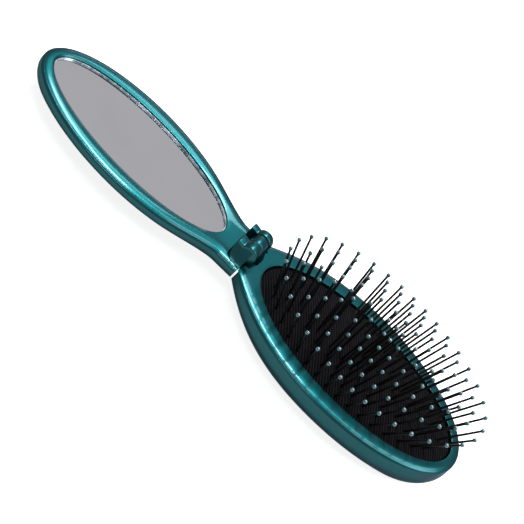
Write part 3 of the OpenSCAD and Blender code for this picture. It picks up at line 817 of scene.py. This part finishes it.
def tray_springs():
    """Two coil springs of round wire, carried by the head."""
    wire_r, turns, steps, sides, clear = 0.25, 4.5, 28, 10, 0.02
    spring_r = (SPRING_HIGH[1] - SPRING_LOW[1]) / 2 - wire_r
    low, high = SPRING_LOW[2] + wire_r + clear, SPRING_HIGH[2] - wire_r - clear
    bm = bmesh.new()
    total = round(turns * steps)
    spots = [2 * math.pi * j / sides for j in range(sides)]
    for place in (SPRING_LOW[0] + spring_r + wire_r, SPRING_HIGH[0] - spring_r - wire_r):
        rows = []
        for i in range(total + 1):
            turn = 2 * math.pi * i / steps
            z = low + (high - low) * i / total
            wire = [(spring_r + wire_r * math.cos(s), z + wire_r * math.sin(s)) for s in spots]
            rows.append([(place + r * math.cos(turn), r * math.sin(turn), height) for r, height in wire])
        made = add_grid(bm, rows, close_columns=True)
        bm.faces.new(made[0])
        bm.faces.new(made[-1][::-1])
    piece = new_object("coil_springs", bm, STEEL, smooth_angle=60)
    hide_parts("tray_springs")
    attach(piece, "head")
    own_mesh(piece)


def dress(node, material):
    """Gives its material to a CAD node that the scene shows as it is."""
    slots = frame["nodes"][node].data.materials
    slots.clear()
    slots.append(material)


# ---- Camera, lights and floor ----

def camera():
    """Long lens, 35 degrees above the brush, turned so that the brush runs to the lower right."""
    elevation, roll = math.radians(35), math.radians(45.6)
    distance, frame_w, sensor = 1.5, 171.35 * MM, 36
    target = Vector((3.516, 1.72, FRONT_Z)) * MM
    level = Vector((1, 0, 0))
    upright = Vector((0, math.sin(elevation), math.cos(elevation)))
    right = level * math.cos(roll) + upright * math.sin(roll)
    up = upright * math.cos(roll) - level * math.sin(roll)
    back = right.cross(up)
    data = bpy.data.cameras.new("camera")
    data.sensor_width = sensor
    data.lens = sensor * distance / frame_w
    data.clip_end = 20
    obj = bpy.data.objects.new("camera", data)
    turn = Matrix((right, up, back)).transposed().to_4x4()
    obj.matrix_world = Matrix.Translation(target + back * distance) @ turn
    bpy.context.scene.collection.objects.link(obj)
    bpy.context.scene.camera = obj


def area_light(name, direction, distance, size, power):
    """Soft light that shines at the brush from a direction, with its distance and size in metres
    and its power in watts."""
    data = bpy.data.lights.new(name, "AREA")
    data.shape = "RECTANGLE"
    data.size, data.size_y = size
    data.energy = power
    obj = bpy.data.objects.new(name, data)
    way = Vector(direction).normalized()
    obj.location = way * distance
    obj.rotation_mode = "QUATERNION"
    obj.rotation_quaternion = way.to_track_quat("Z", "Y")
    bpy.context.scene.collection.objects.link(obj)


def shown_ray(tree):
    """1 for camera and transmission rays, which see the white background, less for reflections, and
    0 for the rays that only light the object."""
    mirrored_share = 0.55
    path = tree.nodes.new("ShaderNodeLightPath")
    mirrored = tree.nodes.new("ShaderNodeMath")
    mirrored.operation = "MULTIPLY"
    mirrored.inputs[1].default_value = mirrored_share
    tree.links.new(path.outputs["Is Glossy Ray"], mirrored.inputs[0])
    value = path.outputs["Is Camera Ray"]
    for source in (mirrored.outputs[0], path.outputs["Is Transmission Ray"]):
        most = tree.nodes.new("ShaderNodeMath")
        most.operation = "MAXIMUM"
        tree.links.new(value, most.inputs[0])
        tree.links.new(source, most.inputs[1])
        value = most.outputs[0]
    return value


def world(light_strength):
    """White surroundings, which light the object less than they show."""
    made = bpy.data.worlds.new("studio")
    bpy.context.scene.world = made
    made.use_nodes = True
    tree = made.node_tree
    background = tree.nodes["Background"]
    background.inputs["Color"].default_value = (1, 1, 1, 1)
    strength = tree.nodes.new("ShaderNodeMapRange")
    strength.inputs["To Min"].default_value = light_strength
    tree.links.new(shown_ray(tree), strength.inputs["Value"])
    tree.links.new(strength.outputs["Result"], background.inputs["Strength"])


def floor():
    """Pale floor that the camera sees as white, with the object's soft shadow."""
    half, shown, grey, drop = 3.0, 0.86, 0.5, 0.0002
    bm = bmesh.new()
    corners = [(-half, -half), (half, -half), (half, half), (-half, half)]
    bm.faces.new([bm.verts.new((x / MM, y / MM, 0)) for x, y in corners])
    made = bpy.data.materials.new("floor")
    made.use_nodes = True
    tree = made.node_tree
    bsdf = tree.nodes["Principled BSDF"]
    bsdf.inputs["Base Color"].default_value = (grey, grey, grey, 1)
    bsdf.inputs["Roughness"].default_value = 1.0
    bsdf.inputs["Specular IOR Level"].default_value = 0.0
    bsdf.inputs["Emission Color"].default_value = (1, 1, 1, 1)
    strength = tree.nodes.new("ShaderNodeMath")
    strength.operation = "MULTIPLY"
    strength.inputs[1].default_value = shown
    tree.links.new(shown_ray(tree), strength.inputs[0])
    tree.links.new(strength.outputs[0], bsdf.inputs["Emission Strength"])
    plane = new_object("floor", bm, made)
    plane.location.z = -drop


LAMPS = [
    ("overhead_left", (-0.2, 0.49, 0.85), 2.4, (0.36, 0.85), 46.0),
    ("overhead_right", (-0.06, 0.3, 0.953), 2.4, (0.3, 0.6), 36.0),
    ("behind", (-0.14, 0.68, 0.72), 0.9, (0.24, 0.13), 1.3),
    ("low_behind", (-0.16, 0.93, 0.28), 0.9, (0.3, 0.12), 0.6),
    ("right", (0.46, 0.24, 0.855), 0.9, (0.52, 0.55), 7.0),
    ("far_right", (0.8, 0.14, 0.58), 0.9, (0.4, 0.5), 5.0),
    ("front", (-0.12, -0.55, 0.82), 0.9, (0.3, 0.16), 1.6),
]


def studio():
    """Surroundings, floor and lamps. No lamp stands where the camera would see it in the glass."""
    bpy.context.scene.view_settings.view_transform = "Standard"
    world(light_strength=0.22)
    floor()
    for name, direction, distance, size, power in LAMPS:
        area_light(name, direction, distance, size, power)


# ---- Making ----

camera()
studio()
back_shell("bristle_half_back", HEAD, PAD_OPENING, "head", "head_back_shell")
front_rim("bristle_half_front", HEAD, PAD_OPENING, "head", "head_front_frame", PAD_LOW[2])
back_shell("mirror_half_back", MIRROR, GLASS_OPENING, "mirror", "mirror_back_shell")
front_rim("mirror_half_front", MIRROR, GLASS_OPENING, "mirror", "mirror_frame", GLASS_HIGH[2])
glass_edge()
for hinge_label, hinge_sign in (("near", -1), ("far", 1)):
    hinge_side(f"hinge_{hinge_label}", hinge_sign)
middle_knuckle()
cushion()
bristles()
tray_springs()
dress("bristle_tray", TRAY)
dress("mirror_glass", SILVER)
dress("mirror_adhesive_pad", FOAM)
dress("hinge_pin", STEEL)
